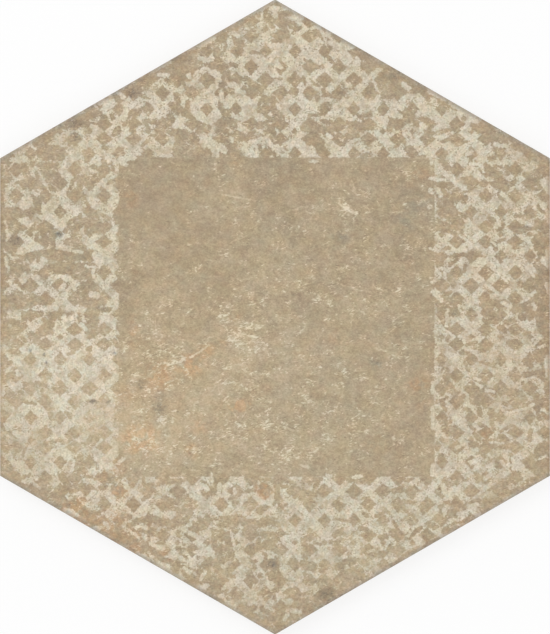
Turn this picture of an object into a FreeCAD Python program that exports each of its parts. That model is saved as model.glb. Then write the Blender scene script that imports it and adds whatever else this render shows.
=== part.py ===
"""Hexagonal floor tile: one pressed and fired slab of stoneware, lying face up.

Frame, in millimetres: the origin is at the middle of the back, on the surface the tile lies on.
+Z runs up through the thickness to the face, +Y to one corner, and +X to the middle of one side.
"""

import FreeCAD, Part
import math
import os

# The slab
ACROSS_FLATS = 240.0  # between opposite sides, where the tile is widest
THICKNESS = 10.0
ARRIS_RADIUS = 1.0  # rounding where the face turns down into each side
SIDE_SETBACK = 0.5  # how far a side's foot stands in from its top, so that the tile leaves its mould
FOOT_BEVEL = 0.8  # bevel round the back, measured along the side and along the back

# The honeycomb of shallow cells that lets the mortar grip the back
CELL_WIDTH = 14.0  # between opposite sides of a cell, at its mouth
CELL_DEPTH = 0.6
CELL_TAPER = 30.0  # degrees that a cell's walls lean in from its mouth
RIB_WIDTH = 3.0  # land left between two cells
BORDER_WIDTH = 10.0  # plain land along each side of the back, which trims the cells beside it
BARE_RADIUS = 24.0  # plain round in the middle of the back, which trims the cells about it

SIDES = 6
TURN = 360.0 / SIDES
UP = FreeCAD.Vector(0, 0, 1)
ORIGIN = FreeCAD.Vector(0, 0, 0)


def point(x, y, z):
    return FreeCAD.Vector(x, y, z)


def polar(radius, degrees, z=0.0):
    """The point at that distance and bearing from the tile's middle line."""
    angle = math.radians(degrees)
    return point(radius * math.cos(angle), radius * math.sin(angle), z)


def section():
    """The tile's section from one side to the opposite one, drawn in the plane y = 0."""
    edge = ACROSS_FLATS / 2
    foot = edge - SIDE_SETBACK
    back = foot - FOOT_BEVEL
    shoulder = THICKNESS - ARRIS_RADIUS
    face = edge - ARRIS_RADIUS
    bulge = ARRIS_RADIUS * math.sin(math.radians(45))
    right = [
        Part.LineSegment(point(-back, 0, 0), point(back, 0, 0)),
        Part.LineSegment(point(back, 0, 0), point(foot, 0, FOOT_BEVEL)),
        Part.LineSegment(point(foot, 0, FOOT_BEVEL), point(edge, 0, shoulder)),
        Part.Arc(
            point(edge, 0, shoulder),
            point(face + bulge, 0, shoulder + bulge),
            point(face, 0, THICKNESS),
        ),
    ]
    left = [
        Part.LineSegment(point(face, 0, THICKNESS), point(-face, 0, THICKNESS)),
        Part.Arc(
            point(-face, 0, THICKNESS),
            point(-face - bulge, 0, shoulder + bulge),
            point(-edge, 0, shoulder),
        ),
        Part.LineSegment(point(-edge, 0, shoulder), point(-foot, 0, FOOT_BEVEL)),
        Part.LineSegment(point(-foot, 0, FOOT_BEVEL), point(-back, 0, 0)),
    ]
    return Part.Face(Part.Wire([line.toShape() for line in right + left]))


def slab():
    """What three long bars of that section, a third of a half turn apart, have in common."""
    reach = ACROSS_FLATS
    bar = section()
    bar.translate(point(0, -reach, 0))
    bar = bar.extrude(point(0, 2 * reach, 0))
    shape = bar
    for turn in (TURN, 2 * TURN):
        turned = bar.copy()
        turned.rotate(ORIGIN, UP, turn)
        shape = shape.common(turned)
    return shape


def hexagon(centre, across, z, bearing):
    """A hexagonal outline with one corner at that bearing from its centre."""
    radius = across / 2 / math.cos(math.radians(TURN / 2))
    corners = [centre + polar(radius, bearing + k * TURN, z) for k in range(SIDES)]
    return Part.makePolygon(corners + corners[:1])


def wall_lean():
    """How far a cell's wall leans in between its mouth and its floor."""
    return CELL_DEPTH * math.tan(math.radians(CELL_TAPER))


def hollow(centre, across, bearing):
    """A shallow hexagonal hollow in the back, narrower at its floor than at its mouth."""
    mouth = hexagon(centre, across, 0.0, bearing)
    floor = hexagon(centre, across - 2 * wall_lean(), CELL_DEPTH, bearing)
    return Part.makeLoft([mouth, floor], True, True)


def field_reach():
    """From the middle of the back to the border along each side."""
    return ACROSS_FLATS / 2 - SIDE_SETBACK - FOOT_BEVEL - BORDER_WIDTH


def cell_centres():
    """Every place of the honeycomb that lies between the bare middle and the border."""
    pitch = CELL_WIDTH + RIB_WIDTH
    rows = math.ceil(ACROSS_FLATS / pitch)
    along, across = polar(pitch, TURN / 2), polar(pitch, TURN * 1.5)
    found = []
    for i in range(-rows, rows + 1):
        for j in range(-rows, rows + 1):
            place = along * i + across * j
            outward = max(place.dot(polar(1.0, k * TURN)) for k in range(SIDES))
            if outward < field_reach() and place.Length > BARE_RADIUS:
                found.append(place)
    return found


def honeycomb():
    """All the cells, trimmed by the border and by the bare middle."""
    cells = Part.makeCompound([hollow(centre, CELL_WIDTH, 0.0) for centre in cell_centres()])
    field = hollow(ORIGIN, 2 * field_reach(), TURN / 2)
    middle = Part.makeCone(BARE_RADIUS, BARE_RADIUS + wall_lean(), CELL_DEPTH)
    return cells.common(field).cut(middle)


def tile():
    return slab().cut(honeycomb()).Solids[0]


def main():
    os.makedirs("parts", exist_ok=True)
    shape = tile()
    shape.exportStep("parts/tile.step")
    box = shape.BoundBox
    print(f"tile {box.XLength:.2f} x {box.YLength:.2f} x {box.ZLength:.2f} mm")
    print(f"{len(cell_centres())} cells, {shape.Volume / 1000:.1f} cm3, valid {shape.isValid()}")


main()
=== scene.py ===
"""Hexagonal floor tile, face up on a pale floor, with the print, wear and stains of its glazed face.

Lengths in the print and in the shader are millimetres. The lists of wear are places on the face, read off
the photograph and written in its pixels: x to the right and y down from its top left corner.
"""

import math

import bmesh
import bpy
import numpy as np
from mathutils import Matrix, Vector, noise


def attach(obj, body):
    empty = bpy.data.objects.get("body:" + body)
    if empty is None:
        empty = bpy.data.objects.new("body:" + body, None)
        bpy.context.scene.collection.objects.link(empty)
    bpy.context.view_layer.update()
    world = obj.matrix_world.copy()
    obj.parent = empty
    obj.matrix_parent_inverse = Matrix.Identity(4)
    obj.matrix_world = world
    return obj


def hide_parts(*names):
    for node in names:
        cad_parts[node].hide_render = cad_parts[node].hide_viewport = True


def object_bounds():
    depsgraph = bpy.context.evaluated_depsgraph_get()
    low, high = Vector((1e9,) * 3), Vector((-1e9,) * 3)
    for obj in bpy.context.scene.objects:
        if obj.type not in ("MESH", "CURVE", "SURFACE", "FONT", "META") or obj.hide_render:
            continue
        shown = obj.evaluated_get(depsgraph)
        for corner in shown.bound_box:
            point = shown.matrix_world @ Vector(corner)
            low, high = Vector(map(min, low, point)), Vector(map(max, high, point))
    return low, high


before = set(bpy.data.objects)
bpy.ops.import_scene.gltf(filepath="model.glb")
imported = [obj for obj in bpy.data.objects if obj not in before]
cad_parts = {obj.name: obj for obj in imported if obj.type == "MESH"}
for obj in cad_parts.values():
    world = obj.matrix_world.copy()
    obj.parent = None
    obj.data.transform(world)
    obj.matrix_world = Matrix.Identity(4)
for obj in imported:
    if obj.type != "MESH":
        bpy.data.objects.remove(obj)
cad_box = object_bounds()

# The slab, in metres, as the solid has it
MM = 0.001
SIDES = 6
TURN = 2 * math.pi / SIDES  # from one side to the next, in radians
ACROSS = cad_box[1][0] - cad_box[0][0]
THICKNESS = cad_box[1][2]
ARRIS = 1.0 * MM  # rounding where the face turns down into each side
SIDE_SETBACK = 0.5 * MM  # how far a side's foot stands in from its top
FOOT_BEVEL = 0.8 * MM  # bevel round the back, along the side and along the back
CELL_DEPTH = 0.6 * MM  # of the honeycomb in the back

# The dense mesh that stands for it
FACE_STEPS = 160  # triangles along each side of the face
ARRIS_STEPS = 4
SIDE_STEPS = 3
SAME_PLACE = 1e-6  # metres within which two points are one
SHARP_EDGE = 30.0  # degrees
RELIEF = (  # size and height of each noise in the low relief of the face, in mm, and its place in the noise
    (46.0, 0.10, (0, 0, 0)),
    (11.0, 0.045, (9, 4, 0)),
    (3.4, 0.022, (3, 7, 0)),
)

# The photograph, which the tile fills from side to side
PHOTO_WIDTH = 550
PHOTO_HEIGHT = 634
PIXEL = ACROSS / PHOTO_WIDTH

# The print: a lattice of diamonds that repeats across and along the tile, and mirrors in its rows
LATTICE_WIDTH = 12.8
LATTICE_LENGTH = 3.5 * LATTICE_WIDTH
LATTICE_PLACE = (8.73, 80.9)  # the middle of one of the smallest diamonds
DIAMONDS = (  # column 0 or 1, distance from the row of smallest diamonds, half its width, half its height
    (0, 0.0, 1.2, 1.2),
    (1, 3.23, 3.49, 2.90),
    (0, 9.73, 2.62, 2.95),
    (1, 16.71, 3.16, 3.27),
    (0, 22.4, 3.62, 3.34),
)
DIAMOND_SPREAD = 0.22  # how much further the diamonds reach than their neat outlines
PLAIN_MIDDLE = (0.72, -0.05)
PLAIN_HALF = (68.8, 69.55)  # half the sides of the square that was left without print

# Where the print has worn off: strokes from x, y to x, y and spots about x, y, each with half its width last
WORN_UPPER_LEFT = (
    (100, 104, 118, 98, 4), (118, 98, 140, 83, 5), (137, 94, 149, 97, 2), (140, 84, 165, 70, 4),
    (170, 66, 196, 60, 9), (172, 72, 186, 75, 7), (192, 52, 198, 58, 3), (200, 47, 222, 38, 5),
    (216, 48, 217, 60, 3.5), (236, 37, 240, 46, 5), (222, 33, 242, 22, 3), (251, 53, 262, 52, 2),
    (221, 75, 222, 84, 4), (229, 84, 232, 92, 2.5), (246, 80, 252, 84, 4), (243, 88, 246, 92, 3),
    (256, 86, 262, 90, 4), (274, 78, 281, 79, 1.5), (259, 98, 259, 112, 2), (258, 98, 272, 99, 4),
    (274, 104, 279, 118, 5), (283, 88, 296, 92, 2.5), (220, 104, 224, 116, 3), (226, 112, 238, 118, 4),
    (188, 102, 186, 112, 2.5), (184, 112, 198, 120, 4), (176, 95, 178, 102, 3), (170, 104, 173, 106, 3),
    (145, 103, 132, 112, 2.5), (130, 112, 124, 120, 2.5), (101, 115, 105, 117, 2.5),
    (131, 130, 134, 132, 2.5), (146, 122, 148, 130, 2), (157, 130, 162, 131, 3), (172, 131, 184, 134, 5),
    (180, 140, 186, 158, 5), (186, 150, 204, 158, 6), (196, 143, 200, 150, 3), (201, 121, 208, 127, 3),
    (228, 118, 233, 126, 4), (216, 130, 226, 131, 3), (229, 138, 241, 136, 4.5), (230, 142, 226, 154, 7),
    (221, 157, 243, 157, 2), (136, 158, 150, 155, 2.5), (258, 126, 266, 123, 3), (270, 128, 272, 134, 4),
    (262, 137, 274, 140, 4), (259, 145, 261, 150, 2), (270, 147, 277, 157, 3), (103, 160, 106, 165, 2),
    (142, 145, 147, 141, 2), (184, 84, 188, 90, 2), (130, 88, 144, 87, 4.5), (134, 116, 139, 112, 2.5),
    (146, 121, 154, 122, 3), (170, 117, 170, 121, 4.5), (198, 131, 203, 127, 3.5), (174, 148, 176, 146, 2.8),
    (103, 147, 106, 148, 2.5), (252, 26, 254, 33, 3), (252, 15, 256, 12, 2.5), (227, 72, 228, 77, 2.5),
    (263, 113, 272, 121, 2.2), (254, 131, 248, 136, 2.5), (226, 46, 221, 53, 1.5), (111, 115, 113, 118, 2.3),
    (124, 125, 126, 121, 2.3), (166, 79, 170, 83, 2.3), (149, 135, 156, 135, 1.8), (207, 64, 213, 66, 3.5),
    (289, 22, 290, 27, 2.3), (230, 64, 236, 66, 2.3),
)
WORN_TOP_CORNER = (
    (262, 16, 270, 18, 5), (270, 24, 273, 27, 2), (272, 8, 276, 6, 4), (278, 14, 290, 13, 3),
    (283, 24, 286, 36, 3.5), (272, 41, 280, 41, 2), (292, 22, 296, 26, 2),
)
WORN_UPPER_RIGHT = (
    (314, 32, 319, 34, 3), (323, 39, 329, 42, 2.5), (327, 56, 333, 63, 1.8), (360, 53, 375, 61, 5),
    (372, 62, 398, 78, 8), (362, 58, 362, 68, 2), (384, 84, 402, 86, 7), (383, 95, 390, 95, 4),
    (404, 90, 420, 88, 4), (418, 86, 434, 94, 3), (440, 99, 456, 107, 4), (471, 126, 480, 130, 4),
    (488, 130, 500, 142, 8), (492, 144, 494, 149, 2), (290, 91, 296, 90, 3), (303, 77, 305, 83, 2),
    (316, 92, 317, 99, 2), (323, 90, 324, 95, 2.2), (327, 94, 334, 97, 1.8), (341, 82, 346, 89, 1.8),
    (346, 88, 353, 88, 1.5), (370, 83, 373, 90, 2), (402, 110, 410, 116, 5), (404, 119, 418, 124, 3.5),
    (364, 115, 370, 114, 2.5), (322, 121, 330, 122, 2.5), (350, 122, 362, 128, 4.5), (318, 128, 330, 135, 4),
    (330, 130, 342, 128, 3), (354, 137, 357, 134, 3), (340, 144, 356, 141, 2), (312, 132, 320, 142, 4),
    (316, 142, 322, 152, 5), (391, 116, 389, 130, 3), (394, 146, 398, 144, 2), (362, 156, 369, 154, 2.5),
    (407, 147, 411, 148, 2), (428, 133, 437, 133, 2), (443, 131, 452, 128, 2.2), (441, 141, 450, 139, 1.8),
    (441, 160, 448, 168, 3), (293, 33, 300, 28, 1.8), (304, 60, 312, 67, 1.8), (312, 67, 322, 66, 2),
    (310, 80, 318, 86, 1.6), (326, 103, 330, 105, 2), (302, 128, 307, 129, 3), (326, 128, 334, 128, 2.5),
    (371, 98, 376, 92, 2), (350, 126, 347, 137, 3), (366, 123, 372, 128, 2), (396, 132, 404, 143, 2.2),
    (405, 149, 412, 150, 2.5), (422, 119, 432, 124, 3.2), (427, 124, 427, 132, 3.5), (416, 157, 423, 156, 2),
    (456, 144, 467, 141, 1.5), (470, 163, 478, 164, 3), (326, 42, 330, 49, 2), (309, 115, 321, 114, 2),
    (357, 115, 363, 119, 2), (397, 131, 400, 134, 2.5), (463, 117, 3), (490, 158, 493, 157, 3.2),
)
WORN_LEFT = (
    (2, 166, 8, 178, 4), (24, 165, 26, 174, 4), (50, 170, 58, 176, 3.5), (50, 186, 54, 190, 2.5),
    (38, 184, 44, 188, 2.5), (36, 196, 42, 216, 5), (2, 212, 24, 212, 5), (80, 178, 80, 190, 3),
    (82, 176, 95, 176, 2), (101, 188, 111, 181, 1.5), (82, 194, 87, 204, 1.8), (80, 214, 80, 222, 2),
    (86, 222, 100, 226, 5), (92, 230, 100, 232, 3), (95, 212, 99, 220, 2), (103, 216, 108, 218, 2.5),
    (68, 222, 76, 218, 2), (40, 228, 44, 234, 4), (50, 230, 54, 236, 3), (52, 240, 52, 250, 3),
    (3, 226, 3, 245, 3), (6, 246, 14, 252, 4), (20, 254, 50, 252, 3), (50, 254, 92, 255, 6),
    (52, 268, 92, 268, 6), (80, 276, 92, 276, 4), (6, 262, 20, 268, 5), (30, 271, 38, 273, 1.5),
    (16, 282, 22, 290, 3.5), (80, 284, 96, 288, 4), (74, 290, 96, 294, 4), (0, 302, 30, 300, 8),
    (30, 300, 50, 300, 4), (84, 297, 96, 303, 5), (94, 305, 97, 312, 3), (90, 318, 95, 330, 5),
    (84, 326, 92, 334, 4), (102, 309, 109, 309, 2.2), (48, 314, 60, 312, 2.5), (64, 316, 72, 312, 2),
    (44, 320, 52, 324, 3), (41, 330, 52, 333, 2), (2, 314, 6, 322, 4), (4, 328, 12, 334, 4),
    (24, 313, 24, 326, 3), (10, 350, 18, 352, 3), (2, 356, 4, 366, 3), (2, 373, 8, 374, 4),
    (24, 382, 28, 384, 2.5), (36, 382, 46, 385, 2.5), (2, 392, 8, 398, 3), (22, 400, 34, 403, 2),
    (88, 401, 96, 400, 1.5), (3, 412, 8, 414, 2.5), (1, 424, 3, 428, 2), (92, 430, 96, 438, 4),
    (84, 444, 94, 442, 3), (62, 443, 70, 441, 1.5), (80, 456, 84, 470, 3.5), (2, 438, 6, 448, 4),
    (6, 464, 10, 472, 5), (12, 450, 14, 457, 1.5), (40, 165, 57, 166, 3.5), (36, 172, 37, 178, 2),
    (1, 184, 1, 218, 3), (10, 214, 14, 230, 5), (14, 237, 18, 244, 4), (22, 229, 34, 223, 2.5),
    (50, 234, 56, 229, 2), (66, 241, 80, 236, 2.5), (17, 262, 24, 258, 3), (0, 268, 6, 276, 4),
    (72, 298, 86, 304, 2.5), (86, 304, 94, 310, 3), (95, 310, 97, 320, 2), (111, 163, 113, 170, 2.2),
    (28, 316, 40, 313, 3.5), (10, 321, 18, 324, 3.5), (2, 334, 8, 342, 3.5), (20, 335, 25, 340, 2.2),
    (114, 340, 117, 345, 2.8), (2, 381, 14, 370, 3.5), (42, 388, 42, 402, 1.6), (46, 400, 52, 418, 2.5),
    (6, 432, 12, 433, 2.5), (22, 455, 27, 443, 1.5), (1, 224, 1, 300, 2), (24, 476, 30, 474, 2),
    (72, 136, 69, 144, 2.5), (85, 152, 87, 161, 3), (93.5, 167, 3), (114, 134, 118, 128, 3),
    (121, 149, 119, 157, 2.5), (31, 165, 34, 162, 2.2), (16, 182, 22, 182, 2), (22, 182, 25, 188, 2.5),
    (34, 188, 38, 185, 2.3), (48, 180, 50, 176, 3.2), (79, 178, 86, 180, 3.5), (97, 180, 101, 175, 2.5),
    (73, 180, 70, 187, 2.5), (68, 191, 68, 196, 2), (94, 216, 3), (115, 216, 117, 221, 3),
    (26, 232, 34, 228, 1.8), (36, 235, 37, 239, 2.5), (64, 231, 67, 228, 2.3), (73, 231, 75, 240, 3),
    (70, 243, 79, 240, 3), (79, 243, 84, 248, 3), (86, 228, 86, 232, 2.2), (38, 256, 38, 261, 2),
    (27, 266, 28, 270, 2.8), (64, 263, 73, 261, 1.6), (117, 273, 119, 277, 2.5), (50, 319, 54, 318, 2.3),
    (79, 314, 80, 322, 2), (118, 323, 118, 329, 2.3), (30, 334, 42, 334, 3), (34, 336, 38, 342, 4),
    (6, 362, 10, 363, 3), (89, 348.5, 3), (69, 354, 73, 351, 2.2), (10.5, 393, 4.2), (20, 392, 23, 397, 3),
    (115, 395, 118, 398, 2.5), (99, 404, 108, 401, 3.5), (117, 403, 117, 408, 2), (66, 412, 70, 417, 2),
    (116, 423, 4.2), (80, 428.5, 3.2), (66, 434, 71, 439, 2.2), (50, 441, 56, 441, 2),
    (87, 448, 90, 447, 2.5), (76, 459, 79, 472, 2), (36, 143, 50, 137, 4), (44, 152, 58, 153, 8),
    (50, 132, 80, 117, 4), (82, 117, 98, 113, 4), (83, 124, 92, 125, 3.5), (3, 165, 10, 157, 5),
)
WORN_LOWER_LEFT = (
    (2, 472, 14, 480, 4), (18, 484, 36, 490, 3), (36, 478, 50, 488, 4), (46, 492, 66, 506, 7),
    (66, 508, 84, 520, 6), (62, 475, 68, 486, 4), (70, 488, 82, 486, 4), (82, 508, 92, 516, 4),
    (94, 511, 99, 513, 2), (92, 522, 104, 520, 4), (106, 522, 112, 530, 4), (112, 534, 130, 542, 6),
    (118, 528, 122, 534, 4), (96, 478, 98, 474, 2), (108, 481, 116, 478, 2.5), (100, 487, 106, 486, 2),
    (84, 476, 91, 476, 1.8), (132, 540, 148, 546, 5), (142, 552, 146, 556, 3), (150, 546, 160, 556, 4),
    (160, 557, 172, 562, 3), (122, 514, 130, 516, 2.5), (136, 520, 152, 517, 3), (142, 528, 152, 530, 4),
    (128, 524, 130, 528, 2), (172, 508, 186, 512, 7), (178, 500, 190, 496, 4), (165, 497, 172, 500, 3),
    (155, 519, 172, 524, 4), (184, 522, 196, 530, 4), (178, 530, 178, 536, 2), (177, 548, 183, 549, 2.5),
    (183, 563, 198, 570, 1.8), (172, 568, 176, 572, 2), (110, 474, 120, 477, 1.8), (114, 482, 112, 490, 1.8),
    (122, 482, 133, 485, 2.3), (143, 477, 144, 487, 2.3), (146, 484, 158, 484, 2.2),
    (141, 499, 145, 496, 1.8), (176, 479, 182, 480, 2.2), (199, 490, 212, 491, 4.5),
    (202, 481, 207, 484, 1.8), (158, 544, 163, 541, 3), (183, 572, 187, 576, 3), (181, 552, 186, 558, 1.6),
    (199, 518, 201, 523, 2.2), (160, 529, 168, 529, 1.5), (76, 466, 79, 472, 2.4), (82, 499, 87, 498, 2.8),
    (131, 522, 137, 525, 1.8), (149, 535, 156, 535, 1.8), (168, 481, 180, 481, 3),
)
WORN_BOTTOM_CORNER = (
    (214, 482, 218, 490, 4), (245, 490, 255, 489, 2), (255, 480, 255, 488, 2), (276, 480, 277, 500, 3),
    (268, 478, 274, 480, 2), (231, 498, 236, 501, 3), (259, 510, 267, 508, 4), (214, 517, 230, 518, 2.5),
    (220, 524, 232, 524, 3.5), (231, 527, 235, 531, 2.5), (192, 524, 204, 528, 3.5), (214, 530, 214, 552, 3),
    (228, 536, 232, 552, 5), (214, 556, 232, 557, 2.5), (244, 522, 258, 524, 4.5), (272, 522, 278, 525, 3),
    (262, 534, 272, 534, 3.5), (262, 546, 272, 546, 4), (258, 540, 259, 546, 3), (264, 553, 266, 557, 2),
    (198, 568, 200, 580, 4), (208, 560, 222, 560, 3), (206, 576, 216, 586, 8), (216, 566, 220, 574, 4),
    (226, 570, 232, 568, 3.5), (254, 561, 254, 567, 2), (250, 570, 248, 574, 2), (272, 562, 276, 574, 5),
    (304, 564, 312, 566, 5), (305, 574, 308, 577, 3), (303, 553, 305, 558, 2), (320, 570, 323, 573, 2.5),
    (318, 598, 336, 594, 6), (292, 600, 300, 604, 7), (298, 612, 306, 610, 5), (318, 604, 326, 600, 4),
    (240, 606, 256, 618, 4), (256, 620, 262, 622, 3), (262, 608, 268, 612, 3), (274, 618, 282, 624, 6),
    (270, 628, 276, 630, 3), (284, 614, 290, 616, 4), (220, 590, 226, 590, 2.5), (215, 597, 220, 599, 2),
    (302, 492, 314, 494, 3), (232, 501, 234, 506, 1.8), (240, 515, 244, 517, 2), (258, 478, 264, 479, 2.3),
    (262, 484, 262, 493, 3), (286, 480, 290, 481, 2.5), (278, 485, 287, 486, 1.8), (302, 479, 303, 490, 1.8),
    (301, 497, 306, 499, 3), (317, 480, 321, 478, 2.2), (314, 487, 318, 483, 2.2), (253, 525, 255, 531, 2),
    (267, 542, 276, 539, 3), (302, 539, 304, 544, 3), (314, 542, 319, 543, 2), (250, 561, 256, 560, 1.8),
    (277, 556, 278, 564, 1.6), (288, 564, 291, 559, 2), (225, 574, 234, 576, 2), (225, 594, 228, 598, 2),
    (283, 592, 292, 588, 2), (272, 590, 275, 600, 1.8), (300, 594, 312, 591, 2), (306, 597, 311, 608, 1.5),
    (243, 531, 247, 528, 2.2), (259.5, 575, 3), (268, 573, 271, 577, 2.7), (273, 589, 276, 587, 2.7),
)
WORN_LOWER_RIGHT = (
    (348, 479, 364, 481, 2.5), (393, 490, 401, 488, 3.5), (404, 479, 418, 479, 1.8),
    (362, 498, 368, 498, 1.8), (402, 506, 411, 514, 2.5), (393, 521, 398, 530, 2), (351, 532, 356, 532, 1.8),
    (408, 536, 412, 530, 3.5), (414, 532, 420, 527, 2.5), (391, 544, 386, 552, 2.5),
    (370, 556, 383, 553, 3.5), (338, 566, 350, 560, 4), (352, 560, 366, 562, 3.5), (344, 574, 358, 574, 6),
    (360, 570, 362, 578, 4), (324, 582, 334, 592, 8), (342, 588, 352, 582, 6), (388, 566, 402, 557, 1.8),
    (402, 556, 418, 547, 2), (428, 524, 438, 516, 4), (440, 506, 444, 512, 3), (446, 514, 457, 512, 4.5),
    (444, 530, 456, 524, 3.5), (456, 524, 468, 518, 2), (463, 507, 478, 500, 2.8), (444, 480, 452, 486, 3.5),
    (462, 480, 466, 479, 2), (475, 474, 477, 480, 2.5), (480, 504, 484, 512, 4), (430, 541, 438, 537, 1.5),
    (402, 500, 414, 502, 2), (444, 502, 449, 502, 2), (376, 515, 384, 511, 2.2), (384, 508, 388, 513, 2),
    (362, 512, 367, 515, 2), (334, 518, 350, 521, 1.6), (360, 528, 365, 529, 3), (391, 531, 396, 528, 2.3),
    (380, 536, 386, 536, 2.8), (336, 541, 350, 537, 2.3), (331, 541, 336, 543, 2.3),
    (361, 543, 361, 552, 1.4), (432, 527, 437, 526, 2), (518, 489, 526, 482, 2.8), (402, 520, 407, 518, 2.2),
    (420, 506, 422, 512, 2.4), (498, 486, 512, 478, 4.5), (504, 495, 526, 484, 2.5), (484, 502, 500, 499, 3),
    (482, 489, 494, 487, 2),
)
WORN_RIGHT = (
    (452, 129, 458, 131, 2), (514, 146, 520, 148, 4), (524, 148, 550, 166, 5), (491, 172, 498, 176, 4.5),
    (493, 166, 500, 166, 1.5), (506, 166, 507, 174, 2), (481, 183, 484, 183, 3.5), (510, 183, 514, 182, 2.5),
    (524, 174, 536, 172, 3), (537, 180, 548, 186, 5), (540, 168, 549, 172, 4), (448, 184, 456, 190, 4.5),
    (440, 194, 448, 200, 6), (447, 204, 452, 212, 5), (436, 222, 446, 228, 5), (446, 214, 456, 218, 3),
    (462, 192, 470, 191, 1.5), (463, 216, 470, 218, 2), (498, 194, 502, 199, 2.5), (488, 217, 494, 223, 2.5),
    (502, 219, 502, 226, 2.2), (497, 230, 501, 228, 2), (515, 216, 523, 216, 2.2), (523, 227, 535, 227, 3),
    (540, 207, 549, 214, 4), (537, 222, 548, 224, 4), (538, 240, 546, 262, 7), (536, 270, 546, 296, 8),
    (493, 243, 495, 249, 2.5), (450, 256, 466, 254, 2.2), (476, 254, 484, 254, 2.5), (450, 264, 457, 259, 2),
    (436, 250, 437, 256, 3), (438, 262, 444, 272, 4), (465, 265, 463, 271, 1.8), (448, 276, 453, 284, 3),
    (487, 290, 492, 293, 2), (518, 282, 522, 285, 2.5), (436, 297, 446, 298, 3), (436, 300, 458, 302, 4),
    (450, 312, 458, 310, 5), (443, 322, 447, 327, 2.5), (484, 304, 504, 304, 5), (486, 312, 494, 318, 6),
    (514, 308, 528, 306, 5), (526, 300, 530, 298, 3), (538, 300, 546, 330, 8), (524, 334, 528, 332, 2.5),
    (507, 341, 512, 344, 2), (540, 348, 548, 368, 6), (524, 360, 530, 366, 3), (524, 374, 538, 372, 3),
    (547, 384, 548, 400, 4), (540, 404, 546, 414, 5), (444, 370, 446, 378, 4), (448, 384, 452, 390, 3.5),
    (452, 392, 458, 392, 2), (493, 363, 497, 360, 2), (473, 396, 484, 392, 4.5), (472, 401, 478, 402, 3),
    (490, 390, 494, 394, 3), (507, 390, 516, 392, 3), (520, 392, 524, 398, 3), (502, 402, 506, 404, 2),
    (441, 402, 445, 409, 2.5), (478, 409, 480, 415, 2.5), (490, 412, 494, 417, 4), (441, 422, 450, 421, 2.5),
    (443, 428, 448, 433, 3.5), (469, 425, 473, 429, 1.8), (470, 444, 476, 444, 3), (492, 445, 508, 446, 2.8),
    (530, 430, 529, 437, 2.5), (540, 450, 546, 470, 7), (436, 442, 439, 445, 2), (496, 466, 499, 464, 2.5),
    (475, 474, 478, 478, 3), (491, 183, 497, 187, 2.5), (438, 203, 440, 212, 2.2), (442, 213, 452, 220, 3.5),
    (457, 213, 464, 214, 2), (452, 232, 461, 232, 3), (526, 218, 534, 215, 2), (516, 232, 525, 231, 2),
    (538, 233, 546, 232, 2.5), (445, 248, 448, 248, 2.5), (512, 248, 520, 247, 1.5),
    (444, 294, 450, 292, 2.3), (436, 307, 448, 306, 1.8), (466, 344, 476, 342, 2.3),
    (474, 347, 484, 350, 2.2), (460, 352, 467, 353, 2.3), (463, 361, 468, 370, 1.8), (480, 361, 494, 366, 2),
    (474, 378, 484, 383, 3), (446, 390, 452, 393, 2), (435, 402, 446, 397, 1.8), (502, 390, 512, 396, 1.8),
    (522, 382, 528, 392, 2), (528, 393, 537, 395, 2.5), (536, 396, 534, 405, 2.8), (524, 404, 534, 402, 2),
    (506, 411, 524, 408, 2.4), (536, 408, 538, 418, 2.2), (446, 427, 454, 426, 2.3),
    (479, 424, 484, 427, 2.3), (490, 420, 494, 429, 2), (500, 430, 512, 425, 2), (501, 435, 506, 440, 3),
    (482, 440, 500, 438, 1.4), (480, 451, 484, 457, 2), (511, 455, 512, 470, 2.2), (530, 455, 534, 456, 2.3),
    (518, 472, 520, 478, 2.5), (534, 352, 536, 360, 2), (463, 178, 469, 178, 2.2), (504, 190, 507, 187, 2.6),
    (532, 189, 539, 188, 2), (463, 201, 465, 197, 2.6), (460, 219, 463, 224, 2), (430, 230, 437, 229, 2.6),
    (497, 241, 503, 239, 2), (536, 261, 543, 258, 2.6), (520, 315, 522, 318, 3), (506, 321, 513, 320, 3.2),
    (482, 319, 489, 322, 1.7), (500, 327, 503, 330, 3.4), (446, 340, 448, 336, 2.3),
    (460, 397, 463, 396, 2.6), (463, 408, 468, 409, 2.4), (474, 434, 478, 438, 2.6), (434, 444, 437, 449, 2),
    (438, 457, 441, 454, 2.2), (526, 462, 538, 468, 5), (532, 480, 542, 477, 3.5), (536, 472, 546, 470, 4),
)
WORN = (
    WORN_UPPER_LEFT + WORN_TOP_CORNER + WORN_UPPER_RIGHT + WORN_LEFT
    + WORN_LOWER_LEFT + WORN_BOTTOM_CORNER + WORN_LOWER_RIGHT + WORN_RIGHT
)

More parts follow.
